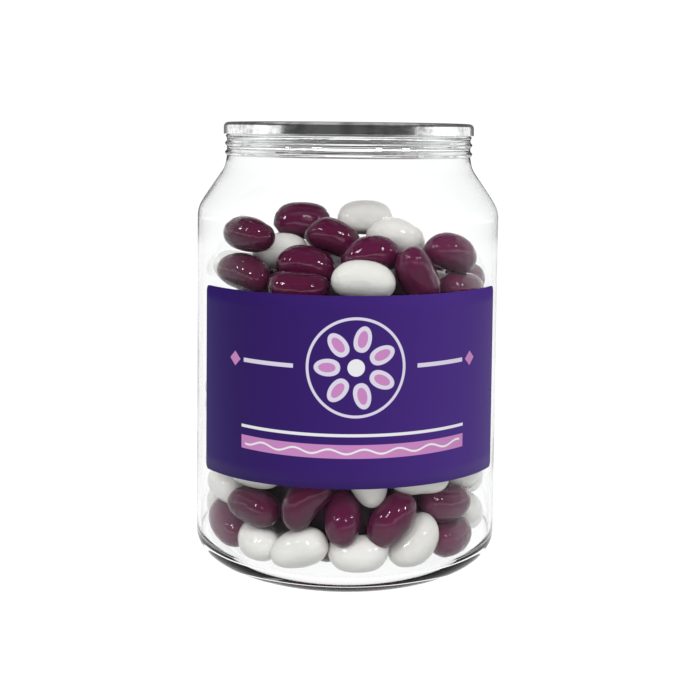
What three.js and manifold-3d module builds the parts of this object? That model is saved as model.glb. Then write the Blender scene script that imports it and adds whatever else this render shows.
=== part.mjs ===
// A clear plastic jar of jelly beans, closed by a seamed aluminium end with a ring pull.
// Millimetres, +Z up. The origin is the middle of the base, on the surface the jar stands on,
// and the label faces -Y.
import * as THREE from "three";
import { mergeVertices } from "three/addons/utils/BufferGeometryUtils.js";
import Module from "manifold-3d";

// ---- Driving dimensions

const ROUND_SIDES = 36; // flats round every turned piece
const GAP = 0.3; // between pieces that touch

const JAR_RADIUS = 33;
const WALL = 0.85;
const FLOOR_TOP = 2.7; // inside of the base
const PUSH_UP = 1.3; // how far the base is domed up inside its standing ring
const RING_INNER_RADIUS = 25.2; // standing ring
const RING_OUTER_RADIUS = 26.0;
const HEEL_HEIGHT = 4.8; // from the standing surface to the straight wall
const INNER_HEEL_RADIUS = 5.2; // the floor's rounding up into the wall
const INNER_HEEL_HEIGHT = 4.6;
const SHOULDER_START = 74.3;
const SHOULDER_END = 84.2;
const NECK_RADIUS = 26.9;
const NECK_WALL = 0.95;
const LIP_TOP = 93.3; // the neck's lip, inside the seam
const NECK_BEADS = [87.55, 89.5]; // heights of the two small rings round the neck
const NECK_BEAD_HALF = 0.62; // half the height of each
const NECK_BEAD_DEPTH = 0.4;

const SEAM_RADIUS = 27.45;
const SEAM_TOP = 94.1;
const SEAM_HEIGHT = 2.6;
const SHEET = 0.35; // aluminium
const CHUCK_RADIUS = 25.6; // outside of the end's upright wall
const CHANNEL_BOTTOM = 86.9; // lowest point of the end
const CHANNEL_WIDTH = 1.9; // over both walls
const PANEL_TOP = 90.0;
const BEAD_RADIUS = 21.5; // stiffening bead round the panel
const BEAD_HEIGHT = 0.35;
const SEAM_ROUND = 1.05; // the seam's rounded top
const SEAM_ROUND_HEIGHT = 1.0;

const RIVET_OFFSET = 15.2; // from the axis towards +Y
const RIVET_NECK_RADIUS = 1.5;
const RIVET_HEAD_RADIUS = 2.6;
const TAB_THICKNESS = 0.9;
const TAB_LENGTH = 27;
const TAB_WIDTH = 17.5;
const TAB_RIM = 2.7; // width of the ring beside its eye
const NOSE_HALF = 4.6;

const LABEL_LEFT = -61.5; // degrees round from -Y
const LABEL_RIGHT = 68;
const LABEL_BOTTOM = 22.6;
const LABEL_TOP = 60.5;
const LABEL_BOTTOM_BOW = 1.2; // how much lower the edge is at the label's ends
const LABEL_TOP_BOW = 0.4;
const LABEL_CORNER = 1.2;
const LABEL_GAP = 0.15;
const LABEL_THICKNESS = 0.25;
const LABEL_COLUMNS = 24; // flats between its rounded corners

const BEAN_LENGTH = 13; // of the largest beans
const BEAN_WIDTH = 8.4;
const SMALLEST_BEAN = 0.92; // share of the largest
const BEAN_BEND = 0.5; // how far the ends lean to one side
const BEAN_LAYER = 7.4; // from one layer of beans to the next
const WALL_ROWS = 9; // rows of beans that lie along the wall
const WALL_ROW_BEANS = 16;
const INNER_RADII = [0, 9.8, 19]; // rings of beans across the heap's top and bottom
const INNER_COUNTS = [1, 5, 10];
const CLEAR_OF_PLACED = 9; // least distance from a placed bean's middle
const HEAP_RIM = 60.5; // height of the topmost middles at the wall
const HEAP_DOME = 10; // how much higher they lie at the heap's peak
const HEAP_PEAK_Y = -5;
const HEAP_SLOPE = 0.04; // fall towards the right
const CORE_RADIUS = 25.6;

// ---- Shared helpers

const { Manifold, Mesh: SolidMesh } = await loadManifold();

async function loadManifold() {
  const wasm = await Module();
  wasm.setup();
  return wasm;
}

function solidFrom(geometry) {
  const bare = geometry.index ? geometry.toNonIndexed() : geometry.clone();
  bare.deleteAttribute("normal");
  bare.deleteAttribute("uv");
  const merged = mergeVertices(bare, 1e-4);
  return new Manifold(
    new SolidMesh({
      numProp: 3,
      vertProperties: new Float32Array(merged.attributes.position.array),
      triVerts: new Uint32Array(merged.index.array),
    }),
  );
}

function geometryFrom(solid) {
  const mesh = solid.getMesh();
  const geometry = new THREE.BufferGeometry();
  geometry.setAttribute("position", new THREE.BufferAttribute(mesh.vertProperties, 3));
  geometry.setIndex(new THREE.BufferAttribute(mesh.triVerts, 1));
  geometry.computeVertexNormals();
  return geometry;
}

// Turns a profile of [radius, height] points round the Z axis.
function turned(profile, sides = ROUND_SIDES) {
  const points = profile.map(([radius, height]) => new THREE.Vector2(radius, height));
  return new THREE.LatheGeometry(points, sides).rotateX(Math.PI / 2);
}

// Points on an ellipse's arc, from one angle to another in degrees.
function arc(radius, height, radiusSpan, heightSpan, from, to, steps) {
  return Array.from({ length: steps + 1 }, (_, i) => {
    const angle = THREE.MathUtils.degToRad(from + ((to - from) * i) / steps);
    return [radius + radiusSpan * Math.cos(angle), height + heightSpan * Math.sin(angle)];
  });
}

function piece(name, geometry, color, roughness, metalness, opacity = 1) {
  const material = new THREE.MeshStandardMaterial({
    color,
    roughness,
    metalness,
    opacity,
    transparent: opacity < 1,
  });
  const mesh = new THREE.Mesh(geometry, material);
  mesh.name = name;
  return mesh;
}

// ---- The jar: one blown wall from the standing ring up to the lip inside the seam

const INNER_RADIUS = JAR_RADIUS - WALL;
const NECK_INNER_RADIUS = NECK_RADIUS - NECK_WALL;
const INNER_HEEL_TOP = FLOOR_TOP + INNER_HEEL_HEIGHT;

// A small ring blown out of the neck.
function neckBead(height) {
  const foot = NECK_RADIUS - 0.15;
  return [
    [foot, height - NECK_BEAD_HALF],
    [foot + NECK_BEAD_DEPTH, height],
    [foot, height + NECK_BEAD_HALF],
  ];
}

function jarGeometry() {
  const heelSpan = JAR_RADIUS - RING_OUTER_RADIUS;
  const heelCentre = INNER_RADIUS - INNER_HEEL_RADIUS;
  const outside = [
    [0, PUSH_UP],
    [RING_INNER_RADIUS - 4.5, PUSH_UP],
    [RING_INNER_RADIUS, 0],
    ...arc(RING_OUTER_RADIUS, HEEL_HEIGHT, heelSpan, HEEL_HEIGHT, -90, 0, 5),
    [JAR_RADIUS, SHOULDER_START],
    [JAR_RADIUS - 0.4, SHOULDER_START + 1.4],
    [JAR_RADIUS - 1.2, SHOULDER_START + 3.1],
    [NECK_RADIUS + 1.4, SHOULDER_END - 1.6],
    [NECK_RADIUS + 0.6, SHOULDER_END - 0.5],
    [NECK_RADIUS + 0.2, SHOULDER_END + 0.6],
    ...NECK_BEADS.flatMap(neckBead),
    [NECK_RADIUS, LIP_TOP - 0.2],
    [NECK_RADIUS - 0.25, LIP_TOP],
  ];
  const inside = [
    [NECK_INNER_RADIUS, LIP_TOP],
    [NECK_INNER_RADIUS, SHOULDER_END + 2.2],
    [NECK_INNER_RADIUS + 0.35, SHOULDER_END],
    [NECK_INNER_RADIUS + 1.45, SHOULDER_END - 1.9],
    [INNER_RADIUS - 1.15, SHOULDER_START + 2.7],
    [INNER_RADIUS - 0.35, SHOULDER_START + 1],
    [INNER_RADIUS, SHOULDER_START - 0.4],
    ...arc(heelCentre, INNER_HEEL_TOP, INNER_HEEL_RADIUS, INNER_HEEL_HEIGHT, 0, -90, 4),
    [0, FLOOR_TOP],
  ];
  return turned([...outside, ...inside]);
}

// ---- The end: one aluminium sheet, folded over the lip, down to a channel and up to a panel

const CHANNEL_MIDDLE = CHUCK_RADIUS - CHANNEL_WIDTH / 2;
const PANEL_EDGE = CHUCK_RADIUS - CHANNEL_WIDTH;
const SEAM_BOTTOM = SEAM_TOP - SEAM_HEIGHT;
const TAB_BOTTOM = PANEL_TOP + BEAD_HEIGHT + GAP;
const HEAD_BOTTOM = TAB_BOTTOM + TAB_THICKNESS + GAP;
const RIVET_TOP = HEAD_BOTTOM + 0.4;

function endProfile() {
  const channelOutside = CHANNEL_WIDTH / 2;
  const channelInside = channelOutside - SHEET;
  const channelHeight = CHANNEL_BOTTOM + channelOutside;
  const roundCentre = SEAM_TOP - SEAM_ROUND_HEIGHT;
  const innerRound = CHUCK_RADIUS - SHEET + SEAM_ROUND;
  const outerRound = SEAM_RADIUS - SEAM_ROUND;
  const top = [
    [0, PANEL_TOP],
    [BEAD_RADIUS - 1.1, PANEL_TOP],
    [BEAD_RADIUS, PANEL_TOP + BEAD_HEIGHT],
    [BEAD_RADIUS + 1.1, PANEL_TOP],
    [PANEL_EDGE - 0.3, PANEL_TOP],
    [PANEL_EDGE + SHEET, PANEL_TOP - 0.5],
    ...arc(CHANNEL_MIDDLE, channelHeight, channelInside, channelInside, -180, 0, 3),
    ...arc(innerRound, roundCentre, SEAM_ROUND, SEAM_ROUND_HEIGHT, 180, 90, 3),
    ...arc(outerRound, roundCentre, SEAM_ROUND, SEAM_ROUND_HEIGHT, 90, 15, 3),
  ];
  const underside = [
    [SEAM_RADIUS - 0.05, SEAM_BOTTOM],
    [SEAM_RADIUS - SHEET + 0.05, SEAM_BOTTOM],
    [SEAM_RADIUS - SHEET + 0.1, LIP_TOP + 0.1],
    [SEAM_RADIUS - SHEET - 0.2, LIP_TOP + GAP],
    [CHUCK_RADIUS + 0.2, LIP_TOP + GAP],
    [CHUCK_RADIUS, LIP_TOP + 0.1],
    [CHUCK_RADIUS, PANEL_TOP - 0.6],
    [CHUCK_RADIUS - 0.15, PANEL_TOP - 0.9],
    ...arc(CHANNEL_MIDDLE, channelHeight, channelOutside - 0.15, channelOutside, 0, -180, 4),
    [PANEL_EDGE, PANEL_TOP - SHEET - 0.2],
    [PANEL_EDGE - 0.35, PANEL_TOP - SHEET],
    [0, PANEL_TOP - SHEET],
  ];
  return [...top, ...underside].reverse();
}

function endGeometry() {
  const foot = PANEL_TOP - SHEET / 2;
  const rivet = turned(
    [
      [0, foot],
      [RIVET_NECK_RADIUS, foot],
      [RIVET_NECK_RADIUS, HEAD_BOTTOM],
      [RIVET_HEAD_RADIUS, HEAD_BOTTOM],
      [RIVET_HEAD_RADIUS - 0.3, RIVET_TOP],
      [0, RIVET_TOP],
    ],
    16,
  ).translate(0, RIVET_OFFSET, 0);
  return geometryFrom(solidFrom(turned(endProfile())).add(solidFrom(rivet)));
}

// ---- The ring pull: a flat ring with a nose, held under the rivet's head

function ringPullGeometry() {
  const noseY = RIVET_OFFSET + 5.3;
  const tailY = noseY - TAB_LENGTH;
  const round = TAB_WIDTH / 2;
  const eyeY = tailY + round;
  const waistY = eyeY + 7.5;
  const outline = new THREE.Shape();
  outline.moveTo(-NOSE_HALF, noseY - 1.6);
  outline.quadraticCurveTo(0, noseY + 1.6, NOSE_HALF, noseY - 1.6);
  outline.quadraticCurveTo(round, waistY, round, eyeY);
  outline.absarc(0, eyeY, round, 0, -Math.PI, true);
  outline.quadraticCurveTo(-round, waistY, -NOSE_HALF, noseY - 1.6);
  const eye = new THREE.Path();
  eye.absellipse(0, eyeY + 0.3, round - TAB_RIM, round - TAB_RIM + 0.3, 0, Math.PI * 2, false);
  const rivetHole = new THREE.Path();
  rivetHole.absarc(0, RIVET_OFFSET, RIVET_NECK_RADIUS + GAP, 0, Math.PI * 2, false);
  outline.holes.push(eye, rivetHole);
  return new THREE.ExtrudeGeometry(outline, {
    depth: TAB_THICKNESS,
    curveSegments: 8,
    bevelEnabled: false,
  }).translate(0, 0, TAB_BOTTOM);
}

// ---- The label: a thin sticker bent round the wall, with rounded corners

function labelGeometry() {
  const inner = JAR_RADIUS + LABEL_GAP;
  const outer = inner + LABEL_THICKNESS;
  const cornerTurn = THREE.MathUtils.radToDeg(LABEL_CORNER / outer);
  const cornerSteps = [0, 0.15, 0.5, 1];
  const turns = [
    ...cornerSteps.map((step) => LABEL_LEFT + step * cornerTurn),
    ...Array.from({ length: LABEL_COLUMNS - 1 }, (_, i) => {
      const share = (i + 1) / LABEL_COLUMNS;
      return LABEL_LEFT + cornerTurn + share * (LABEL_RIGHT - LABEL_LEFT - 2 * cornerTurn);
    }),
    ...cornerSteps.toReversed().map((step) => LABEL_RIGHT - step * cornerTurn),
  ];
  const middle = (LABEL_LEFT + LABEL_RIGHT) / 2;
  const halfSpan = (LABEL_RIGHT - LABEL_LEFT) / 2;
  const positions = [];
  for (const turn of turns) {
    const fromEnd = Math.min(turn - LABEL_LEFT, LABEL_RIGHT - turn) / cornerTurn;
    const inset = LABEL_CORNER * (1 - Math.sqrt(1 - (1 - Math.min(fromEnd, 1)) ** 2));
    const bow = ((turn - middle) / halfSpan) ** 2;
    const low = LABEL_BOTTOM - bow * LABEL_BOTTOM_BOW + inset;
    const high = LABEL_TOP - bow * LABEL_TOP_BOW - inset;
    const angle = THREE.MathUtils.degToRad(turn);
    for (const [radius, height] of [[inner, low], [outer, low], [outer, high], [inner, high]])
      positions.push(radius * Math.sin(angle), -radius * Math.cos(angle), height);
  }
  const faces = [0, 1, 2, 0, 2, 3];
  for (let column = 0; column + 1 < turns.length; column++)
    for (let side = 0; side < 4; side++) {
      const a = column * 4 + side;
      const b = column * 4 + ((side + 1) % 4);
      faces.push(a, a + 4, b, b, a + 4, b + 4);
    }
  const last = (turns.length - 1) * 4;
  faces.push(last, last + 2, last + 1, last, last + 3, last + 2);
  const geometry = new THREE.BufferGeometry();
  geometry.setAttribute("position", new THREE.Float32BufferAttribute(positions, 3));
  geometry.setIndex(faces);
  return geometry;
}

// ---- The beans: those that lie at the wall in front are placed, the rest fill up by a seeded rule

// Each row: x, height, how far the bean's right end falls and how far it turns to the back, both
// in degrees, then how far behind the wall it lies.
const FRONT_BEANS = [
  [-20.5, 70.5, 5, -35, 1.5],
  [-21, 62.9, 15, -35, 0],
  [-25.5, 62.5, 0, -70, 7],
  [-9.7, 60.8, 3, 0, 0],
  [3.2, 62.8, 5, 0, 0],
  [14, 63.6, 60, 30, 0],
  [24, 59.7, 10, 50, 0],
  [-8.4, 64.7, 10, 0, 7],
  [4.7, 66.8, -10, 0, 6.5],
  [21.6, 66.5, 25, 35, 1.5],
  [-14, 66.8, 0, 0, 11],
  [-3, 69.9, 20, 0, 12.5],
  [10.1, 70.3, 15, 0, 12.5],
  [-9.8, 72.8, 0, 0, 18.5],
  [3.7, 73.6, 0, 0, 20.5],
  [-25.2, 16.2, 10, -60, 0],
  [-18, 22, 0, -30, 0],
  [-18.5, 14.2, 10, -38, 0],
  [-7.6, 17.5, -50, 0, 0],
  [4, 21.8, 60, 30, 1],
  [15.2, 21.8, 0, 20, 0],
  [24.6, 20.5, 10, 55, 0],
  [-24.2, 8, 30, -50, 0],
  [-17.8, 7.2, 5, -60, 0],
  [-9, 7.2, -20, -15, 0],
  [-0.3, 14.4, -50, 90, 0],
  [2.7, 7.2, 0, 0, 1.2],
  [9.2, 13.9, -55, 15, 0],
  [20.6, 14.4, 8, 35, 0],
  [14.4, 7.2, -40, 30, 0],
  [21.9, 7.2, 0, 55, 0],
  [26.9, 9.2, 30, 75, 0],
  [27.3, 15.9, 30, 80, 0],
  [-3.6, 7.2, 0, 90, 6.5],
  [-26, 23.4, 0, -70, 0],
];

const BEAN_ROUND = BEAN_WIDTH / 2;
const BEAN_REACH = BEAN_LENGTH / 2 - BEAN_ROUND; // from its middle to the middle of each rounded end
const WALL_REACH = INNER_RADIUS - 1.5 * GAP - BEAN_ROUND;
const FLOOR_REACH = FLOOR_TOP + GAP + BEAN_ROUND;

let seed = 20611;

function draw(low, high) {
  seed = (seed * 1664525 + 1013904223) % 4294967296;
  return low + ((high - low) * seed) / 4294967296;
}

// Height of the middles of the topmost beans.
function heapTop(x, y) {
  const dome = 1 - (x ** 2 + (y - HEAP_PEAK_Y) ** 2) / JAR_RADIUS ** 2;
  return HEAP_RIM - HEAP_SLOPE * x + HEAP_DOME * dome;
}

// A bean by its middle and its long axis: turned from X to the back, then raised at that end.
// A held bean is drawn back to its place and lie while the others settle.
function bean(x, y, height, turn, rise, held = false, shown = true) {
  const flat = THREE.MathUtils.degToRad(turn);
  const up = THREE.MathUtils.degToRad(rise);
  const middle = new THREE.Vector3(x, y, height);
  const axis = new THREE.Vector3(Math.cos(flat), Math.sin(flat), 0)
    .multiplyScalar(Math.cos(up))
    .setZ(Math.sin(up));
  const start = { home: middle.clone(), lie: axis.clone() };
  return { middle, axis, held, shown, ...start, size: draw(SMALLEST_BEAN, 1) };
}

// A bean of the list above, moved forward until it touches the wall and then back.
function frontBean([x, height, fall, turn, back]) {
  const placed = bean(x, 0, height, turn, -fall, true);
  const nearest = ballsOf(placed).map(
    (ball) => -Math.sqrt(Math.max(WALL_REACH ** 2 - ball.x ** 2, 0)) - ball.y,
  );
  placed.middle.y = Math.max(...nearest) + back;
  placed.home.copy(placed.middle);
  return placed;
}

function ringOfBeans(radius, count, heightAt, shown) {
  const start = draw(0, 360);
  return Array.from({ length: count }, (_, i) => {
    const round = THREE.MathUtils.degToRad(start + (i * 360) / count + draw(-5, 5));
    const x = radius * Math.sin(round);
    const y = -radius * Math.cos(round);
    const height = heightAt(x, y) + draw(-0.8, 0.8);
    return bean(x, y, height, draw(0, 180), draw(-30, 30), false, shown);
  });
}

// Most of a row's beans lie along the wall, one in five stands and one in five points inwards.
function rowAlongWall(rowHeight) {
  const step = 360 / WALL_ROW_BEANS;
  const start = draw(0, step) - 180;
  return Array.from({ length: WALL_ROW_BEANS }, (_, i) => {
    const turn = start + i * step + draw(-3, 3);
    const round = THREE.MathUtils.degToRad(turn);
    const height = Math.max(rowHeight + draw(-0.9, 0.9), FLOOR_REACH);
    const rise = draw(0, 1) < 0.2 ? draw(50, 90) : draw(-35, 35);
    const inwards = draw(0, 1) < 0.2 ? draw(30, 80) : draw(-12, 12);
    const x = WALL_REACH * Math.sin(round);
    const y = -WALL_REACH * Math.cos(round);
    return bean(x, y, height, turn + inwards, rise);
  });
}

function laidBeans() {
  const placed = FRONT_BEANS.map(frontBean);
  const loose = [];
  for (let row = 0; row < WALL_ROWS; row++)
    loose.push(...rowAlongWall(FLOOR_REACH + row * BEAN_LAYER));
  INNER_RADII.forEach((radius, ring) => {
    loose.push(...ringOfBeans(radius, INNER_COUNTS[ring], (x, y) => heapTop(x, y) - 1, true));
    loose.push(...ringOfBeans(radius, INNER_COUNTS[ring], () => FLOOR_REACH, true));
  });
  // Unseen beans behind the wall's rows keep those from sinking inwards.
  for (let row = 1; row < WALL_ROWS - 2; row++) {
    const height = FLOOR_REACH + row * BEAN_LAYER;
    loose.push(...ringOfBeans(INNER_RADII[2], INNER_COUNTS[2], () => height, false));
  }
  const fits = ({ middle }) =>
    middle.z < heapTop(middle.x, middle.y) + 1 &&
    placed.every((other) => other.middle.distanceTo(middle) > CLEAR_OF_PLACED);
  return [...placed, ...loose.filter(fits)];
}

// Settling: crossing beans push each other apart, the loose ones sink, and all stay in the jar.
// Each bean feels through three balls, at its middle and in its two rounded ends.
const SETTLING_ROUNDS = 90;
const PUSH_SHARE = 0.25; // of a crossing's depth, in one round
const LONGEST_MOVE = 0.6;
const SINKING = 0.03;
const PULL_HOME = 0.5; // of a held bean's distance from its place and lie

function ballsOf(bean) {
  return [-1, 0, 1].map((end) => bean.middle.clone().addScaledVector(bean.axis, end * BEAN_REACH));
}

function pushApart(ballsA, ballsB, pushA, pushB) {
  ballsA.forEach((ballA, a) => {
    ballsB.forEach((ballB, b) => {
      const apart = ballA.clone().sub(ballB);
      const over = BEAN_WIDTH - apart.length();
      if (over <= 0) return;
      apart.setLength(over * PUSH_SHARE);
      pushA[a].add(apart);
      pushB[b].sub(apart);
    });
  });
}

function settled(beans) {
  for (let round = 0; round < SETTLING_ROUNDS; round++) {
    const balls = beans.map(ballsOf);
    const pushes = balls.map((of) => of.map(() => new THREE.Vector3()));
    for (let i = 0; i < beans.length; i++)
      for (let j = i + 1; j < beans.length; j++)
        if (beans[i].middle.distanceTo(beans[j].middle) < BEAN_LENGTH)
          pushApart(balls[i], balls[j], pushes[i], pushes[j]);
    beans.forEach((bean, i) => {
      const [low, mid, high] = pushes[i];
      const shift = low.clone().add(mid).add(high).multiplyScalar(0.5);
      if (!bean.held) shift.z -= SINKING;
      bean.middle.add(shift.clampLength(0, LONGEST_MOVE));
      bean.axis.addScaledVector(high.sub(low), PUSH_SHARE / BEAN_REACH).normalize();
      if (bean.held) {
        bean.middle.lerp(bean.home, PULL_HOME);
        bean.axis.lerp(bean.lie, PULL_HOME).normalize();
      }
      keptInside(bean);
    });
  }
  return beans;
}

function keptInside(kept) {
  const { middle, held } = kept;
  for (const ball of ballsOf(kept)) {
    const reach = WALL_REACH - 0.5 * Math.max(0, INNER_HEEL_TOP - ball.z);
    const out = Math.hypot(ball.x, ball.y);
    if (out > reach) {
      middle.x -= (ball.x / out) * (out - reach);
      middle.y -= (ball.y / out) * (out - reach);
    }
    if (ball.z < FLOOR_REACH) middle.z += FLOOR_REACH - ball.z;
  }
  if (!held) middle.z = Math.min(middle.z, heapTop(middle.x, middle.y) + 1);
}

// One bean: a rounded rod with fuller sides than an egg, its ends leaning to one side. Each row
// of its profile is a share of its roundness and of its half length.
const BEAN_PROFILE = [
  [0, -1],
  [0.62, -0.86],
  [1.03, -0.42],
  [1.03, 0.42],
  [0.62, 0.86],
  [0, 1],
];

function beanGeometry() {
  const bean = turned(BEAN_PROFILE, 6).rotateY(Math.PI / 2);
  const position = bean.attributes.position;
  for (let i = 0; i < position.count; i++) {
    const [x, y, z] = [position.getX(i), position.getY(i), position.getZ(i)];
    const lean = -BEAN_BEND * (x * x - 0.4);
    position.setXYZ(i, (x * BEAN_LENGTH) / 2, y * BEAN_ROUND + lean, z * BEAN_ROUND);
  }
  return bean;
}

// The body of the heap behind the beans that show, its top following the heap's.
function coreGeometry() {
  const low = FLOOR_REACH - 2;
  const lid = HEAP_RIM; // the top's heights before they follow the heap's
  const profile = [
    [0, low],
    [CORE_RADIUS - 3, low],
    [CORE_RADIUS, low + 3],
    [CORE_RADIUS, lid + 0.3],
    [CORE_RADIUS - 2, lid + 1.5],
    [0, lid + 1.5],
  ];
  const core = turned(profile, 18);
  const position = core.attributes.position;
  for (let i = 0; i < position.count; i++) {
    const [x, y, z] = [position.getX(i), position.getY(i), position.getZ(i)];
    if (z > lid / 2) position.setZ(i, z - lid + heapTop(x, y));
  }
  return core;
}

// A bean well behind the label shows from nowhere. Above its edge one looks down behind it.
function hidden(middle) {
  const turn = THREE.MathUtils.radToDeg(Math.atan2(middle.x, -middle.y));
  const inTurn = turn > LABEL_LEFT + 12 && turn < LABEL_RIGHT - 12;
  return inTurn && middle.z > LABEL_BOTTOM + 7 && middle.z < LABEL_TOP - 14;
}

function beansGeometry() {
  const shape = beanGeometry();
  let heap = solidFrom(coreGeometry());
  const xAxis = new THREE.Vector3(1, 0, 0);
  for (const { middle, axis, size, shown } of settled(laidBeans())) {
    const roll = new THREE.Quaternion().setFromAxisAngle(xAxis, draw(0, Math.PI * 2));
    if (!shown || hidden(middle)) continue;
    const turn = new THREE.Quaternion().setFromUnitVectors(xAxis, axis).multiply(roll);
    const placed = shape.clone().scale(size, size, size).applyQuaternion(turn);
    placed.translate(middle.x, middle.y, middle.z);
    heap = heap.add(solidFrom(placed));
  }
  const bodies = heap.decompose().sort((a, b) => b.volume() - a.volume());
  return geometryFrom(bodies[0]);
}

// ---- The whole

const jar = new THREE.Group();
jar.add(
  piece("jar_body", jarGeometry(), 0xf2f5f5, 0.05, 0, 0.35),
  piece("can_end", endGeometry(), 0xc9cccd, 0.25, 1),
  piece("ring_pull", ringPullGeometry(), 0xd2d4d5, 0.25, 1),
  piece("label", labelGeometry(), 0x3a2370, 0.4, 0),
  piece("jelly_beans", beansGeometry(), 0x6a3a55, 0.2, 0),
);

export default jar;
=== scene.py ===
import math

import bpy
import numpy as np
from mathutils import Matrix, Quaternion, Vector


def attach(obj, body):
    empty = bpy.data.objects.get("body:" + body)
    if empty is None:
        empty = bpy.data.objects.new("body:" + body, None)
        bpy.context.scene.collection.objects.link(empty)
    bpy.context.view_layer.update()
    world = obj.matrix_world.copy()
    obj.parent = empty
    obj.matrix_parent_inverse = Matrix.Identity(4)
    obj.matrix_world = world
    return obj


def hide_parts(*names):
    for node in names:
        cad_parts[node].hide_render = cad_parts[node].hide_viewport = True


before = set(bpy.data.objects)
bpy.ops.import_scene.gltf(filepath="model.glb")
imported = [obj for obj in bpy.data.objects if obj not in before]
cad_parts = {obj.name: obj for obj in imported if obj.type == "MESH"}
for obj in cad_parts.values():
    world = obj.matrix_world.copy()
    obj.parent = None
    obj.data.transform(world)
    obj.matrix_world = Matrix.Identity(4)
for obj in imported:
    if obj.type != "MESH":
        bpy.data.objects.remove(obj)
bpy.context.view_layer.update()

# ---- The jar
# A clear can blown in one piece from polyester: a domed base on a narrow standing ring, a round
# heel, a straight wall and a shoulder drawn in to the neck. The mould leaves its faces polished,
# and the wall keeps a faint waviness from the blowing.

MM = 0.001
JAR_RADIUS = 33.0
JAR_WALL = 0.85
JAR_FLOOR = 2.7
BASE_FLAT = 17.0  # radius of the flat middle of the base
PUSH_UP = 1.3  # how far that middle is domed up
RING_INNER, RING_OUTER = 25.2, 26.0  # the standing ring
HEEL_HEIGHT = 4.8
INNER_HEEL, INNER_HEEL_REACH = 26.75, 5.4  # middle of the heel's rounding inside, and its reach
INNER_HEEL_FROM, INNER_HEEL_DROP = 6.3, 4.2
TROUGH_WIDTH = INNER_HEEL - BASE_FLAT  # between the floor's flat middle and that rounding
TROUGH_DEPTH = 0.6
NECK_OUTSIDE, NECK_INSIDE = 26.75, 25.95
NECK_BEADS = (87.55, 89.5)
BEAD_DEPTH, BEAD_HALF = 0.42, 0.62
SEAM_FILLET, FILLET_DEPTH, FILLET_HALF = 91.1, 0.2, 0.38
LIP_TOP, LIP_MIDDLE = 93.3, 26.3


def arc(radius, height, radius_span, height_span, start, end, steps):
    turns = np.radians(np.linspace(start, end, steps + 1))
    return [(radius + radius_span * math.cos(t), height + height_span * math.sin(t)) for t in turns]


def eased(points, rounds=3):
    """Rounds the corners of a profile by cutting each of them, again and again."""
    for _ in range(rounds):
        cut = [points[0]]
        for (r0, z0), (r1, z1) in zip(points, points[1:]):
            cut.append((0.75 * r0 + 0.25 * r1, 0.75 * z0 + 0.25 * z1))
            cut.append((0.25 * r0 + 0.75 * r1, 0.25 * z0 + 0.75 * z1))
        points = cut + [points[-1]]
    return points


def piece(name, verts, faces, finish):
    mesh = bpy.data.meshes.new(name)
    mesh.from_pydata([tuple(c * MM for c in v) for v in verts], [], faces)
    mesh.polygons.foreach_set("use_smooth", [True] * len(mesh.polygons))
    mesh.materials.append(finish)
    made = bpy.data.objects.new(name, mesh)
    bpy.context.scene.collection.objects.link(made)
    return made


def turned(profile, sides):
    """Turns a profile of radius and height, from axis to axis, round the jar's axis."""
    verts, rows = [], []
    for radius, height in profile:
        if radius < 1e-6:
            rows.append([len(verts)] * sides)
            verts.append((0, 0, height))
            continue
        rows.append(range(len(verts), len(verts) + sides))
        for i in range(sides):
            turn = 2 * math.pi * i / sides
            verts.append((radius * math.cos(turn), radius * math.sin(turn), height))
    faces = []
    for low, high in zip(rows, rows[1:]):
        for i in range(sides):
            j = (i + 1) % sides
            corners = [low[i], low[j], high[j], high[i]]
            faces.append(list(dict.fromkeys(corners)))
    return verts, faces


class Number:
    """A shader's number, so that its maths can be written as sums and products."""

    def __init__(self, finish, socket):
        self.finish, self.socket = finish, socket

    def maths(self, operation, *values):
        return self.finish.add("ShaderNodeMath", {"operation": operation}, dict(enumerate(values)))

    def __add__(self, other):
        return self.maths("ADD", self, other)

    def __radd__(self, other):
        return self.maths("ADD", other, self)

    def __sub__(self, other):
        return self.maths("SUBTRACT", self, other)

    def __rsub__(self, other):
        return self.maths("SUBTRACT", other, self)

    def __mul__(self, other):
        return self.maths("MULTIPLY", self, other)

    def __truediv__(self, other):
        return self.maths("DIVIDE", self, other)

    def __pow__(self, other):
        return self.maths("POWER", self, other)

    def __abs__(self):
        return self.maths("ABSOLUTE", self)

    def within(self, edge, blur):
        """1 where the number lies under the edge and 0 over it, with a soft step."""
        step = {"interpolation_type": "SMOOTHSTEP"}
        ends = {"From Min": edge - blur, "From Max": edge + blur, "To Min": 1, "To Max": 0}
        return self.finish.add("ShaderNodeMapRange", step, {"Value": self, **ends})


class Finish:
    """The nodes of a material or a world, with the one way in which they are added."""

    def __init__(self, owner):
        owner.use_nodes = True
        self.owner, self.tree = owner, owner.node_tree
        self.tree.nodes.clear()

    def add(self, kind, settings=None, sockets=None, output=0):
        node = self.tree.nodes.new(kind)
        for name, value in (settings or {}).items():
            if name == "stops":
                ramp = node.color_ramp.elements
                while len(ramp) < len(value):
                    ramp.new(0.5)
                for stop, (place, colour) in zip(ramp, value):
                    stop.position, stop.color = place, colour
            else:
                setattr(node, name, value)
        for name, value in (sockets or {}).items():
            if isinstance(value, Number):
                self.tree.links.new(value.socket, node.inputs[name])
            else:
                node.inputs[name].default_value = value
        return Number(self, node.outputs[output])

    def shown_by(self, shader, output="ShaderNodeOutputMaterial"):
        out = self.tree.nodes.new(output)
        self.tree.links.new(shader.socket, out.inputs["Surface"])
        return self.owner


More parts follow.
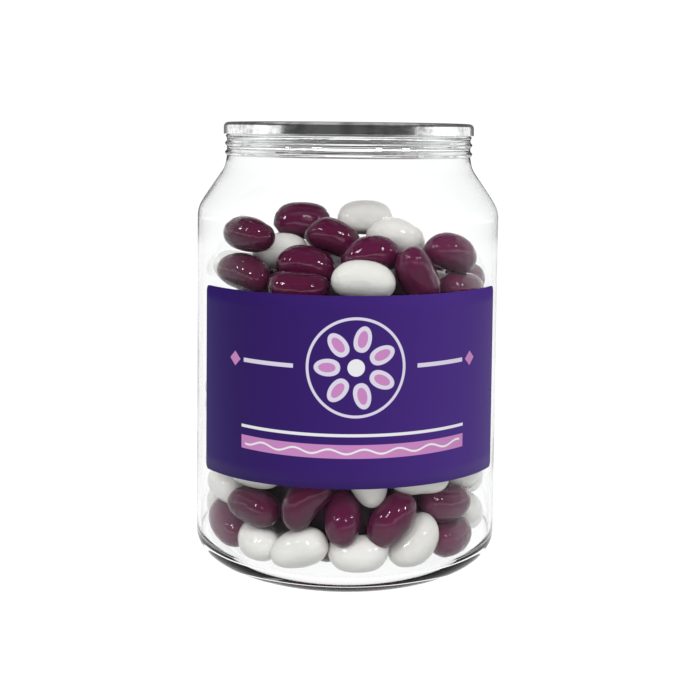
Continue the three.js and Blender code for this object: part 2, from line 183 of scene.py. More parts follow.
def blown_polyester():
    finish = Finish(bpy.data.materials.new("clear_polyester"))
    place = finish.add("ShaderNodeTexCoord", output="Object")
    waves = finish.add("ShaderNodeTexNoise", {}, {"Vector": place, "Scale": 70, "Detail": 1})
    normal = finish.add("ShaderNodeBump", {}, {"Height": waves, "Strength": 0.05, "Distance": 0.001})
    wall = finish.add(
        "ShaderNodeBsdfPrincipled",
        {},
        {
            "Base Color": (0.985, 0.992, 0.99, 1),
            "Roughness": 0.0,
            "IOR": 1.33,
            "Specular Tint": (0.2, 0.2, 0.2, 1),
            "Transmission Weight": 1.0,
            "Normal": normal,
        },
    )
    # Lamps and soft light pass the thin wall unbent, so that the filling is lit as outside.
    clear = finish.add("ShaderNodeBsdfTransparent", {}, {"Color": (0.93, 0.935, 0.93, 1)})
    shadow = finish.add("ShaderNodeLightPath", output="Is Shadow Ray")
    soft = finish.add("ShaderNodeLightPath", output="Is Diffuse Ray")
    lit = finish.add("ShaderNodeMixShader", {}, {0: shadow, 1: wall, 2: clear})
    return finish.shown_by(finish.add("ShaderNodeMixShader", {}, {0: soft, 1: lit, 2: clear}))


def bulge(radius, depth, height, half, steps):
    """A small rounded ring that stands out from a radius."""
    return [
        (radius + depth * math.cos(t * math.pi / 2) ** 1.5, height + half * t)
        for t in np.linspace(-1, 1, steps)
    ]


jar_outside = [
    *[(BASE_FLAT * i / 4, PUSH_UP) for i in range(5)],
    *[
        (BASE_FLAT + (RING_INNER - BASE_FLAT) * t, PUSH_UP / 2 * (1 + math.cos(math.pi * t)))
        for t in np.linspace(0.08, 1, 12)
    ],
    ((RING_INNER + RING_OUTER) / 2, 0),
    *arc(RING_OUTER, HEEL_HEIGHT, JAR_RADIUS - RING_OUTER, HEEL_HEIGHT, -90, 0, 20),
    *[(JAR_RADIUS, z) for z in np.linspace(10, 70, 13)],
    *eased([
        (33, 73), (33, 74.6), (32.6, 76.0), (31.8, 77.5), (28.4, 82.5), (27.5, 83.8), (27.1, 84.8),
        (26.9, 85.8), (NECK_OUTSIDE, 86.7),
    ]),
    *[point for height in NECK_BEADS for point in bulge(NECK_OUTSIDE, BEAD_DEPTH, height, BEAD_HALF, 13)],
    (NECK_OUTSIDE, 90.4),
    *bulge(NECK_OUTSIDE + 0.05, FILLET_DEPTH, SEAM_FILLET, FILLET_HALF, 9),
    *eased([(NECK_OUTSIDE, 92.6), (NECK_OUTSIDE, LIP_TOP), (LIP_MIDDLE, LIP_TOP)], 2),
]
jar_inside = [
    *eased([(LIP_MIDDLE, LIP_TOP), (NECK_INSIDE, LIP_TOP), (NECK_INSIDE, 92.7)], 2),
    *eased([
        (NECK_INSIDE, 91), (NECK_INSIDE, 86.4), (26.3, 84.2), (27.4, 82.3), (31.0, 77.0), (31.8, 75.4),
        (32.15, 74), (32.15, 72.5),
    ]),
    *[(JAR_RADIUS - JAR_WALL, z) for z in np.linspace(69, 9, 13)],
    *arc(INNER_HEEL, INNER_HEEL_FROM, INNER_HEEL_REACH, INNER_HEEL_DROP, 0, -90, 16),
    *[
        (INNER_HEEL - TROUGH_WIDTH * t, JAR_FLOOR - TROUGH_DEPTH / 2 * (1 + math.cos(math.pi * t)))
        for t in np.linspace(0.1, 1, 10)
    ],
    *[(BASE_FLAT * (1 - i / 3), JAR_FLOOR) for i in range(1, 4)],
]
jar = piece("jar", *turned(jar_outside + jar_inside, 180), blown_polyester())
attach(jar, "root")
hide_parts("jar_body")

# ---- The jelly beans
# Sugar-polished beans a little over a centimetre long, half of them dark purple and half white,
# poured into the jar and shaken down. Those along the wall lie flat against it.

BEAN_LENGTH = 13.0
BEAN_WIDTH = 8.4
SMALLEST_BEAN = 0.92
BEAN_LAYER = 7.4
WALL_ROWS = 9
WALL_ROW_BEANS = 16
INNER_RINGS = [(0, 1), (9.8, 5), (19, 10)]
CLEAR_OF_PLACED = 9
OFF_WALL, OFF_FLOOR = 0.45, 0.3
FLOOR_RISES_FROM = 7.3  # the height under which the beans are kept in from the wall
BEAN_ROUND = BEAN_WIDTH / 2
BEAN_REACH = BEAN_LENGTH / 2 - BEAN_ROUND
WALL_REACH = JAR_RADIUS - JAR_WALL - OFF_WALL - BEAN_ROUND
FLOOR_REACH = JAR_FLOOR + OFF_FLOOR + BEAN_ROUND
HEAP_RIM, HEAP_DOME, HEAP_SLOPE, HEAP_PEAK_Y = 60.5, 10, 0.04, -5
ODD_SHARE = 0.2  # of a row's beans that stand, and that point inwards

# Each row: x, height, how far the right end falls and how far it turns to the back in degrees,
# how far behind the wall the bean lies, and its colour.
FRONT_BEANS = [
    (-20.5, 70.5, 5, -35, 1.5, "purple"),
    (-21, 62.9, 15, -35, 0, "purple"),
    (-25.5, 62.5, 0, -70, 7, "white"),
    (-9.7, 60.8, 3, 0, 0, "purple"),
    (3.2, 62.8, 5, 0, 0, "white"),
    (14, 63.6, 60, 30, 0, "purple"),
    (24, 59.7, 10, 50, 0, "purple"),
    (-8.4, 64.7, 10, 0, 7, "purple"),
    (4.7, 66.8, -10, 0, 6.5, "purple"),
    (21.6, 66.5, 25, 35, 1.5, "purple"),
    (-14, 66.8, 0, 0, 11, "white"),
    (-3, 69.9, 20, 0, 12.5, "purple"),
    (10.1, 70.3, 15, 0, 12.5, "white"),
    (-9.8, 72.8, 0, 0, 18.5, "purple"),
    (3.7, 73.6, 0, 0, 20.5, "white"),
    (-25.2, 16.2, 10, -60, 0, "white"),
    (-18, 22, 0, -30, 0, "white"),
    (-18.5, 14.2, 10, -38, 0, "purple"),
    (-7.6, 17.5, -50, 0, 0, "purple"),
    (4, 21.8, 60, 30, 1, "white"),
    (15.2, 21.8, 0, 20, 0, "white"),
    (24.6, 20.5, 10, 55, 0, "white"),
    (-24.2, 8, 30, -50, 0, "purple"),
    (-17.8, 7.2, 5, -60, 0, "white"),
    (-9, 7.2, -20, -15, 0, "white"),
    (-0.3, 14.4, -50, 90, 0, "purple"),
    (2.7, 7.2, 0, 0, 1.2, "white"),
    (9.2, 13.9, -55, 15, 0, "purple"),
    (20.6, 14.4, 8, 35, 0, "purple"),
    (14.4, 7.2, -40, 30, 0, "white"),
    (21.9, 7.2, 0, 55, 0, "purple"),
    (26.9, 9.2, 30, 75, 0, "white"),
    (27.3, 15.9, 30, 80, 0, "white"),
    (-3.6, 7.2, 0, 90, 6.5, "purple"),
    (-26, 23.4, 0, -70, 0, "purple"),
]

seed = 20611


def draw(low, high):
    global seed
    seed = (seed * 1664525 + 1013904223) % 4294967296
    return low + (high - low) * seed / 4294967296


def heap_top(x, y):
    dome = 1 - (x**2 + (y - HEAP_PEAK_Y) ** 2) / JAR_RADIUS**2
    return HEAP_RIM - HEAP_SLOPE * x + HEAP_DOME * dome


def round_the_axis(radius, turn):
    """Where a turn in degrees from the front meets a radius."""
    return radius * math.sin(math.radians(turn)), -radius * math.cos(math.radians(turn))


def bean(x, y, height, turn, rise, colour=None):
    flat, up = math.radians(turn), math.radians(rise)
    axis = (math.cos(flat) * math.cos(up), math.sin(flat) * math.cos(up), math.sin(up))
    return {"middle": [x, y, height], "axis": axis, "colour": colour, "size": draw(SMALLEST_BEAN, 1)}


def balls_of(middles, axes):
    ends = np.array([-1, 0, 1])[:, None] * BEAN_REACH
    return middles[..., None, :] + ends * axes[..., None, :]


def front_bean(x, height, fall, turn, back, colour):
    placed = bean(x, 0, height, turn, -fall, colour)
    balls = balls_of(np.array(placed["middle"], float), np.array(placed["axis"]))
    nearest = [-math.sqrt(max(WALL_REACH**2 - b[0] ** 2, 0)) - b[1] for b in balls]
    placed["middle"][1] = max(nearest) + back
    return placed


def ring_of_beans(radius, count, height_at):
    start = draw(0, 360)
    ring = []
    for i in range(count):
        x, y = round_the_axis(radius, start + i * 360 / count + draw(-5, 5))
        height = height_at(x, y) + draw(-0.8, 0.8)
        ring.append(bean(x, y, height, draw(0, 180), draw(-30, 30)))
    return ring


def row_along_wall(row_height):
    step = 360 / WALL_ROW_BEANS
    start = draw(0, step) - 180
    row = []
    for i in range(WALL_ROW_BEANS):
        turn = start + i * step + draw(-3, 3)
        height = max(row_height + draw(-0.9, 0.9), FLOOR_REACH)
        rise = draw(50, 90) if draw(0, 1) < ODD_SHARE else draw(-35, 35)
        inwards = draw(30, 80) if draw(0, 1) < ODD_SHARE else draw(-12, 12)
        row.append(bean(*round_the_axis(WALL_REACH, turn), height, turn + inwards, rise))
    return row


def poured_beans():
    placed = [front_bean(*row) for row in FRONT_BEANS]
    loose = []
    for row in range(WALL_ROWS):
        loose += row_along_wall(FLOOR_REACH + row * BEAN_LAYER)
    for radius, count in INNER_RINGS:
        loose += ring_of_beans(radius, count, lambda x, y: heap_top(x, y) - 1)
        loose += ring_of_beans(radius, count, lambda x, y: FLOOR_REACH)
    for row in range(1, WALL_ROWS - 2):
        height = FLOOR_REACH + row * BEAN_LAYER
        loose += ring_of_beans(*INNER_RINGS[2], lambda x, y: height)

    def fits(b):
        x, y, z = b["middle"]
        return z < heap_top(x, y) + 1 and all(
            math.dist(b["middle"], other["middle"]) > CLEAR_OF_PLACED for other in placed
        )

    return placed + [b for b in loose if fits(b)], len(placed)


def settled(beans, held, rounds=90, share=0.25, longest=0.6, sinking=0.03, pull_home=0.5):
    """Crossing beans push each other apart, the loose ones sink and the held ones are drawn home."""
    middles = np.array([b["middle"] for b in beans], float)
    axes = np.array([b["axis"] for b in beans], float)
    home, lie = middles[:held].copy(), axes[:held].copy()
    for _ in range(rounds):
        balls = balls_of(middles, axes)
        first, second = np.triu_indices(len(beans), 1)
        close = np.linalg.norm(middles[first] - middles[second], axis=1) < BEAN_LENGTH
        first, second = first[close], second[close]
        apart = balls[first][:, :, None] - balls[second][:, None]
        distance = np.linalg.norm(apart, axis=3, keepdims=True)
        push = apart / distance * np.clip(BEAN_WIDTH - distance, 0, None) * share
        pushes = np.zeros_like(balls)
        np.add.at(pushes, first, push.sum(axis=2))
        np.add.at(pushes, second, -push.sum(axis=1))
        shift = pushes.sum(axis=1) * 0.5
        shift[held:, 2] -= sinking
        length = np.linalg.norm(shift, axis=1, keepdims=True)
        middles += shift * np.minimum(1, longest / np.maximum(length, 1e-9))
        axes += (pushes[:, 2] - pushes[:, 0]) * share / BEAN_REACH
        axes /= np.linalg.norm(axes, axis=1, keepdims=True)
        middles[:held] += (home - middles[:held]) * pull_home
        axes[:held] += (lie - axes[:held]) * pull_home
        axes /= np.linalg.norm(axes, axis=1, keepdims=True)
        for ball in balls_of(middles, axes).transpose(1, 0, 2):
            reach = WALL_REACH - 0.5 * np.clip(FLOOR_RISES_FROM - ball[:, 2], 0, None)
            out = np.hypot(ball[:, 0], ball[:, 1])
            over = np.clip(out - reach, 0, None)
            middles[:, :2] -= ball[:, :2] / np.maximum(out, 1e-9)[:, None] * over[:, None]
            middles[:, 2] += np.clip(FLOOR_REACH - ball[:, 2], 0, None)
        lid = heap_top(middles[held:, 0], middles[held:, 1]) + 1
        middles[held:, 2] = np.minimum(middles[held:, 2], lid)
    return middles, axes


def one_bean(around=20, along=15, bend=0.9, dimple_depth=0.07, dimple_reach=0.45):
    """The largest bean: blunt ends, fuller than an egg, its ends leaning to one side."""
    verts, faces = [], []
    for j in range(along + 1):
        x = -math.cos(math.pi * j / along)
        girth = BEAN_ROUND * (1 - abs(x) ** 2.5) ** (1 / 2.1)
        lean = -bend * (x * x - 0.3)
        if j in (0, along):
            verts.append((x * BEAN_LENGTH / 2, lean, 0))
            continue
        for i in range(around):
            turn = 2 * math.pi * i / around
            dent = math.exp(-(x / dimple_reach) ** 2) * max(0, -math.cos(turn)) ** 2
            dimple = 1 - dimple_depth * dent
            y, z = girth * math.cos(turn) * dimple, 0.96 * girth * math.sin(turn)
            verts.append((x * BEAN_LENGTH / 2, y + lean, z))
    rows = [[0] * around]
    rows += [[1 + (j - 1) * around + i for i in range(around)] for j in range(1, along)]
    rows += [[len(verts) - 1] * around]
    for low, high in zip(rows, rows[1:]):
        for i in range(around):
            j = (i + 1) % around
            faces.append(list(dict.fromkeys([low[i], low[j], high[j], high[i]])))
    return verts, faces


def sugar_shell(name, shades, glow, gloss):
    """A polished sugar shell: its colour differs from bean to bean and is faintly cloudy, with a painted
    glow where it faces the eye.
    """
    finish = Finish(bpy.data.materials.new(name))
    place = finish.add("ShaderNodeTexCoord", output="Object")
    tone = finish.add("ShaderNodeAttribute", {"attribute_name": "tone"}, output="Fac")
    clouds = finish.add("ShaderNodeTexNoise", {}, {"Vector": place, "Scale": 420, "Detail": 3})
    shade = finish.add(
        "ShaderNodeValToRGB",
        {"stops": [(0.0, shades[0]), (0.5, shades[1]), (1.0, shades[2])]},
        {"Fac": tone * 0.75 + clouds * 0.5 - 0.12},
    )
    # Painted glow: where the bean faces the eye, a brighter colour is mixed into its own, as light seen
    # through the sugar.
    facing = finish.add("ShaderNodeLayerWeight", {}, {"Blend": 0.35}, output="Facing")
    colour = finish.add(
        "ShaderNodeMix", {"data_type": "RGBA"}, {0: (1 - facing) ** 3 * glow[0], 6: shade, 7: glow[1]}, 2
    )
    pits = finish.add("ShaderNodeTexNoise", {}, {"Vector": place, "Scale": 260, "Detail": 2})
    dents = finish.add("ShaderNodeTexNoise", {}, {"Vector": place, "Scale": 600, "Detail": 0})
    relief = pits * 0.8 + dents * 0.25
    normal = finish.add("ShaderNodeBump", {}, {"Height": relief, "Strength": 0.6, "Distance": 0.0006})
    smears = finish.add("ShaderNodeTexNoise", {}, {"Vector": place, "Scale": 180, "Detail": 2})
    shell = finish.add(
        "ShaderNodeBsdfPrincipled",
        {},
        {
            "Base Color": colour,
            "Roughness": smears * 0.08 + gloss,
            "IOR": 1.42,
            "Normal": normal,
        },
    )
    return finish.shown_by(shell)


# After the three shades of each comes the painted glow: its share and its colour.
PURPLE_SHELL = sugar_shell(
    "purple_shell",
    [(0.032, 0.002, 0.013, 1), (0.060, 0.005, 0.030, 1), (0.100, 0.016, 0.053, 1)],
    (0.35, (0.15, 0.006, 0.052, 1)),
    0.02,
)
WHITE_SHELL = sugar_shell(
    "white_shell",
    [(0.65, 0.635, 0.605, 1), (0.71, 0.695, 0.665, 1), (0.77, 0.755, 0.73, 1)],
    (0.25, (0.82, 0.81, 0.79, 1)),
    0.03,
)


def bean_layer(name):
    """Geometry nodes that set a bean on each point, with the point's own turn, size and tone."""
    tree = bpy.data.node_groups.new(name, "GeometryNodeTree")
    face = tree.interface
    face.new_socket("Points", in_out="INPUT", socket_type="NodeSocketGeometry")
    face.new_socket("Bean", in_out="INPUT", socket_type="NodeSocketObject")
    face.new_socket("Shell", in_out="INPUT", socket_type="NodeSocketMaterial")
    face.new_socket("Beans", in_out="OUTPUT", socket_type="NodeSocketGeometry")
    nodes, link = tree.nodes, tree.links.new
    given, out = nodes.new("NodeGroupInput"), nodes.new("NodeGroupOutput")
    bean_info = nodes.new("GeometryNodeObjectInfo")
    link(given.outputs["Bean"], bean_info.inputs["Object"])

    def stored(attribute, kind):
        node = nodes.new("GeometryNodeInputNamedAttribute")
        node.data_type = kind
        node.inputs["Name"].default_value = attribute
        return node.outputs["Attribute"]

    on_points = nodes.new("GeometryNodeInstanceOnPoints")
    link(given.outputs["Points"], on_points.inputs["Points"])
    link(bean_info.outputs["Geometry"], on_points.inputs["Instance"])
    link(stored("turn", "FLOAT_VECTOR"), on_points.inputs["Rotation"])
    link(stored("size", "FLOAT_VECTOR"), on_points.inputs["Scale"])
    realized = nodes.new("GeometryNodeRealizeInstances")
    link(on_points.outputs["Instances"], realized.inputs["Geometry"])
    finished = nodes.new("GeometryNodeSetMaterial")
    link(realized.outputs["Geometry"], finished.inputs["Geometry"])
    link(given.outputs["Shell"], finished.inputs["Material"])
    link(finished.outputs["Geometry"], out.inputs["Beans"])
    return tree


def laid(name, rows, shell, bean_object):
    """The beans of one colour, each set in its place and all joined to one mesh."""
    mesh = bpy.data.meshes.new(name + "_places")
    mesh.from_pydata([tuple(c * MM for c in row["middle"]) for row in rows], [], [])
    for attribute, kind in (("turn", "FLOAT_VECTOR"), ("size", "FLOAT_VECTOR"), ("tone", "FLOAT")):
        data = mesh.attributes.new(attribute, kind, "POINT").data
        values = np.array([row[attribute] for row in rows], float).ravel()
        data.foreach_set("vector" if kind == "FLOAT_VECTOR" else "value", values)
    places = bpy.data.objects.new(name + "_places", mesh)
    bpy.context.scene.collection.objects.link(places)
    modifier = places.modifiers.new("beans", "NODES")
    modifier.node_group = bean_nodes
    sockets = {s.name: s.identifier for s in bean_nodes.interface.items_tree if s.in_out == "INPUT"}
    modifier[sockets["Bean"]] = bean_object
    modifier[sockets["Shell"]] = shell
    graph = bpy.context.evaluated_depsgraph_get()
    whole = bpy.data.meshes.new_from_object(places.evaluated_get(graph))
    whole.name = name
    whole.polygons.foreach_set("use_smooth", [True] * len(whole.polygons))
    places.modifiers.remove(modifier)
    bpy.data.objects.remove(places)
    made = bpy.data.objects.new(name, whole)
    bpy.context.scene.collection.objects.link(made)
    return made


def lying_along(axis):
    """The turn that lays a bean along an axis, rolled about it at random."""
    rolled = Quaternion((1, 0, 0), draw(0, 2 * math.pi))
    return (Vector((1, 0, 0)).rotation_difference(Vector(axis)) @ rolled).to_euler()[:]


def shown(row):
    """Draws how large a bean is each way, its tone and, where it has none, its colour."""
    row["size"] = [row["size"] * draw(0.97, 1.0) for _ in range(3)]
    row["tone"] = draw(0, 1)
    row["colour"] = row["colour"] or ("purple" if draw(0, 1) < 0.5 else "white")


BEHIND_REACH, BEHIND_LOWEST, BEHIND_FRONT = 20.3, 11, -12
BEHIND_ROWS, BEHIND_ROW_BEANS, BEHIND_LAYER = 15, 24, 3.6
OUTER_LAYER, CLEAR_OF_OUTER = 23, 7.4


def beans_behind(outer):
    """Beans of the next layer in, where the wall's layer leaves a gap at the sides or the back."""
    taken = [b["middle"] for b in outer if math.hypot(*b["middle"][:2]) > OUTER_LAYER]
    behind = []
    for row in range(BEHIND_ROWS):
        start = draw(0, 360 / BEHIND_ROW_BEANS)
        for i in range(BEHIND_ROW_BEANS):
            turn = start + i * 360 / BEHIND_ROW_BEANS
            x, y = round_the_axis(BEHIND_REACH, turn)
            height = BEHIND_LOWEST + row * BEHIND_LAYER
            placed = bean(x, y, height, turn + draw(-20, 20), draw(-60, 60))
            clear = all(math.dist(placed["middle"], middle) > CLEAR_OF_OUTER for middle in taken)
            if clear and y > BEHIND_FRONT:
                placed["turn"] = lying_along(placed["axis"])
                shown(placed)
                behind.append(placed)
                taken.append(placed["middle"])
    return behind


poured, held_beans = poured_beans()
bean_middles, bean_axes = settled(poured, held_beans)
for middle, axis, row in zip(bean_middles, bean_axes, poured):
    row["turn"], row["middle"] = lying_along(axis), middle
for row in poured:
    shown(row)
poured += beans_behind(poured)

pattern_bean = piece("pattern_bean", *one_bean(), WHITE_SHELL)
bean_nodes = bean_layer("laid_beans")
heaps = []
for colour, shell in (("purple", PURPLE_SHELL), ("white", WHITE_SHELL)):
    rows = [row for row in poured if row["colour"] == colour]
    heap = laid(colour + "_beans", rows, shell, pattern_bean)
    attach(heap, "root")
    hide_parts("jelly_beans")
    heaps.append(heap)
bpy.data.objects.remove(pattern_bean)

# ---- The inside of the heap
# The beans further in, of which only dark glimpses are seen through the gaps: one lumpy body of the same
# sugar, painted in the dark shade between the beans and tinted by the light that both kinds throw.


def painted_shade_sugar():
    finish = Finish(bpy.data.materials.new("painted_shade_sugar"))
    place = finish.add("ShaderNodeTexCoord", output="Object")
    lumps = finish.add("ShaderNodeTexVoronoi", {"feature": "F1"}, {"Vector": place, "Scale": 110}, 0)
    # Painted shade: the sugar is as dark as beans deep in shade, and darkest where the lumps meet.
    shade = finish.add(
        "ShaderNodeValToRGB",
        {"stops": [(0.0, (0.06, 0.035, 0.045, 1)), (0.7, (0.02, 0.008, 0.014, 1))]},
        {"Fac": lumps},
    )
    normal = finish.add("ShaderNodeBump", {}, {"Height": 1 - lumps, "Strength": 0.6, "Distance": 0.002})
    sugar = {"Base Color": shade, "Roughness": 0.5, "Normal": normal}
    return finish.shown_by(finish.add("ShaderNodeBsdfPrincipled", {}, sugar))


CORE_RADIUS = 22.5
CORE_FLOOR = 6
CORE_LID = 55  # before the top follows the heap's
FOLLOWS_FROM = 50


def lumpy(x, y, z):
    """A point of the core's round body, moved in or out into lumps and raised with the heap."""
    swell = 1 + 0.04 * math.sin(x * 0.9 + z * 0.7) * math.cos(y * 0.8 - z * 0.5)
    raised = z - HEAP_RIM + heap_top(x, y) if z > FOLLOWS_FROM else z
    return x * swell, y * swell, raised


core_profile = [*[(radius, CORE_FLOOR) for radius in (0, 8, 16)], (21, 7), (CORE_RADIUS, 9.5)]
core_profile += [(CORE_RADIUS, z) for z in np.linspace(13, 49, 15)]
core_profile += [(CORE_RADIUS - 0.5, 51.5), (CORE_RADIUS - 2.5, 54)]
core_profile += [(radius, CORE_LID) for radius in (17, 14, 10, 6, 3, 0)]
core_verts, core_faces = turned(core_profile, 60)
core_verts = [lumpy(*place) for place in core_verts]
core = piece("heap_core", core_verts, core_faces, painted_shade_sugar())
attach(core, "root")
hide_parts("jelly_beans")

# ---- The can end
# One round of aluminium sheet, rolled with the jar's lip into a double seam. Inside the seam it
# drops to a channel and comes up to the panel, which has a bead, the cut line along which it
# tears, a dip for the finger and a rivet pressed up from the sheet.

SEAM_FACE = 26.8  # further out is the seam's outer face, which the seaming rolls have dulled
EVEN_STREAK = 0.62  # what the rest of the end has in place of that face's upright streaks


def rolled_aluminium(name, worn):
    """Bright sheet with rolling lines; the seam's outer face is duller and streaked upwards."""
    finish = Finish(bpy.data.materials.new(name))
    place = finish.add("ShaderNodeTexCoord", output="Object")
    stretched = finish.add("ShaderNodeMapping", {}, {"Vector": place, "Scale": (14, 1200, 1200)})
    rolling = finish.add("ShaderNodeTexNoise", {}, {"Vector": stretched, "Scale": 1, "Detail": 2})
    smears = finish.add("ShaderNodeTexNoise", {}, {"Vector": place, "Scale": 120, "Detail": 3})
    across, along = (finish.add("ShaderNodeSeparateXYZ", {}, {0: place}, axis) for axis in range(2))
    burnished = 1 - ((across * across + along * along) ** 0.5).within(SEAM_FACE * MM, 0.0002)
    upright = finish.add("ShaderNodeMapping", {}, {"Vector": place, "Scale": (160, 160, 8)})
    streaks = finish.add("ShaderNodeTexNoise", {}, {"Vector": upright, "Scale": 1, "Detail": 2})
    dark, bright, brightest = (0.38, 0.38, 0.38, 1), (0.86, 0.86, 0.86, 1), (0.95, 0.95, 0.96, 1)
    shade = finish.add(
        "ShaderNodeValToRGB",
        {"stops": [(0.38, dark), (0.55, bright), (1.0, brightest)]},
        {"Fac": rolling * 0.3 + (streaks * burnished + (1 - burnished) * EVEN_STREAK) * 0.7},
    )
    normal = finish.add("ShaderNodeBump", {}, {"Height": rolling, "Strength": 0.12, "Distance": 0.0002})
    sheet = finish.add(
        "ShaderNodeBsdfPrincipled",
        {},
        {
            "Base Color": shade,
            "Metallic": 1.0,
            "Roughness": smears * 0.1 + burnished * 0.11 + worn,
            "Normal": normal,
        },
    )
    return finish.shown_by(sheet)


SEAM_RADIUS = 27.45
SEAM_TOP = 94.1
SEAM_BOTTOM = 91.5
SEAM_ROUND = 1.0  # height of the rounding over its top
SHEET = 0.35
CHUCK_RADIUS = 25.6
CHANNEL_MIDDLE, CHANNEL_HEIGHT = 24.5, 87.85
PANEL_TOP = 90.0
PANEL_REACH = 20.0  # the flat middle, inside the bead
BEAD_RISE = 0.35
CUT_LINE, CUT_DEPTH = 22.95, 0.09
CHUCK_FOOT, CHUCK_TOP, CHUCK_SLOPE = 88.6, 92.9, 0.07  # the end's upright wall
RIVET_OFFSET = 15.2

end_top = [
    *[(PANEL_REACH * i / 20, PANEL_TOP) for i in range(21)],
    *[
        (PANEL_REACH + 0.3 + 2.4 * t, PANEL_TOP + BEAD_RISE / 2 * (1 - math.cos(2 * math.pi * t)))
        for t in np.linspace(0.05, 1, 14)
    ],
    (CUT_LINE - 0.1, PANEL_TOP), (CUT_LINE, PANEL_TOP - CUT_DEPTH), (CUT_LINE + 0.1, PANEL_TOP),
    *eased([(23.15, PANEL_TOP), (23.65, PANEL_TOP), (24.05, PANEL_TOP - 0.5), (24.05, CHUCK_FOOT)]),
    *arc(CHANNEL_MIDDLE, CHANNEL_HEIGHT, 0.5, 0.6, -180, 0, 12),
    *[(25.02 + CHUCK_SLOPE * (z - CHUCK_FOOT), z) for z in np.linspace(CHUCK_FOOT, CHUCK_TOP, 5)],
    *arc(26.3, SEAM_TOP - SEAM_ROUND, 1.05, SEAM_ROUND, 180, 90, 10),
    *arc(26.4, SEAM_TOP - SEAM_ROUND, 1.05, SEAM_ROUND, 90, 12, 10),
]
end_under = [
    *[(SEAM_RADIUS, z) for z in (93.0, 92.4, 91.9)],
    *eased([(SEAM_RADIUS, 91.75), (SEAM_RADIUS, SEAM_BOTTOM), (SEAM_RADIUS - 0.3, SEAM_BOTTOM)], 2),
    (27.15, 91.6), (27.2, 93.2), (26.95, 93.6), (25.8, 93.6), (25.6, 93.3),
    *[(CHUCK_RADIUS - 0.1 * (92.5 - z), z) for z in (92.5, 91, 90, 89.2)],
    *arc(CHANNEL_MIDDLE + 0.1, CHANNEL_HEIGHT, 0.72, 0.95, 10, -180, 16),
    (23.7, 89.3), (23.4, 89.6),
    *[(23.0 * (1 - i / 6), PANEL_TOP - SHEET) for i in range(7)],
]
end_verts, end_faces = turned((end_top + end_under)[::-1], 180)

FINGER_DIP, RIVET_STEP = 0.7, 0.12


def pressed(x, y, z):
    """The height of a point of the panel, with the finger's dip and the flat under the rivet."""
    if z < PANEL_TOP - SHEET - 0.01 or math.hypot(x, y) > PANEL_REACH + 0.2:
        return z
    dip = math.exp(-((x / 7.0) ** 4) - ((y + 3.0) / 5.0) ** 4)
    flat = math.exp(-((x / 4.6) ** 6) - ((y - RIVET_OFFSET) / 3.9) ** 6)
    return z - FINGER_DIP * dip - RIVET_STEP * flat


end_verts = [(x, y, pressed(x, y, z)) for x, y, z in end_verts]
can_end = piece("can_end_sheet", end_verts, end_faces, rolled_aluminium("end_sheet", 0.02))
rivet_verts, rivet_faces = turned(
    [
        (0, 89.75), (1.5, 89.75), (1.5, 91.85),
        *eased([(2.0, 91.85), (2.6, 91.85), (2.6, 92.15), (2.0, 92.25), (1.4, 92.22)], 2),
        (0.9, 92.05), (0.4, 91.98), (0, 91.97),
    ],
    48,
)
rivet_verts = [(x, y + RIVET_OFFSET, z) for x, y, z in rivet_verts]
rivet = piece("rivet", rivet_verts, rivet_faces, rolled_aluminium("rivet_sheet", 0.14))
for made in (can_end, rivet):
    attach(made, "root")
    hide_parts("can_end")

# ---- The ring pull
# Stamped from thicker aluminium, its outer edge and the eye's edge curled under so that they are
# blunt, and clenched to the end by the rivet.

TAB_BOTTOM = 90.65
TAB_THICKNESS = 0.9
TAB_WIDTH, TAB_LENGTH = 17.5, 27
TAB_NOSE = RIVET_OFFSET + 5.3
EYE_MIDDLE = TAB_NOSE - TAB_LENGTH + TAB_WIDTH / 2
EYE_HALF_WIDTH, EYE_HALF_LENGTH = 6.05, 6.35
RIVET_HOLE = 1.8
PLATE_HALF = 0.22  # half the plate's thickness
TAB_CURL, TAB_CURL_INSET = 0.44, 0.45
EYE_CURL, EYE_CURL_GROWTH = 0.4, 0.42
NOSE_HALF_WIDTH = 4.6


def quadratic(start, bend, end, steps):
    return [
        tuple((1 - t) ** 2 * a + 2 * t * (1 - t) * b + t * t * c for a, b, c in zip(start, bend, end))
        for t in np.linspace(0, 1, steps, endpoint=False)
    ]


def tab_outline(inset):
    half, nose = TAB_WIDTH / 2 - inset, NOSE_HALF_WIDTH - inset * 0.7
    top = TAB_NOSE - 1.6 - inset * 0.5
    right = quadratic((nose, top), (half, EYE_MIDDLE + 7.5), (half, EYE_MIDDLE), 16)
    tail = [
        (half * math.cos(t), EYE_MIDDLE + half * math.sin(t)) for t in np.linspace(0, -math.pi, 32)[:-1]
    ]
    left = [(-x, y) for x, y in right[::-1]]
    start = [(-half, EYE_MIDDLE)]
    front = quadratic((-nose, top), (0, top + 3.2), (nose, top), 12)
    return right + tail + start + left[:-1] + front


def eye_outline(grow):
    return [
        ((EYE_HALF_WIDTH + grow) * math.cos(t), EYE_MIDDLE + 0.3 + (EYE_HALF_LENGTH + grow) * math.sin(t))
        for t in np.linspace(0, 2 * math.pi, 48, endpoint=False)
    ]


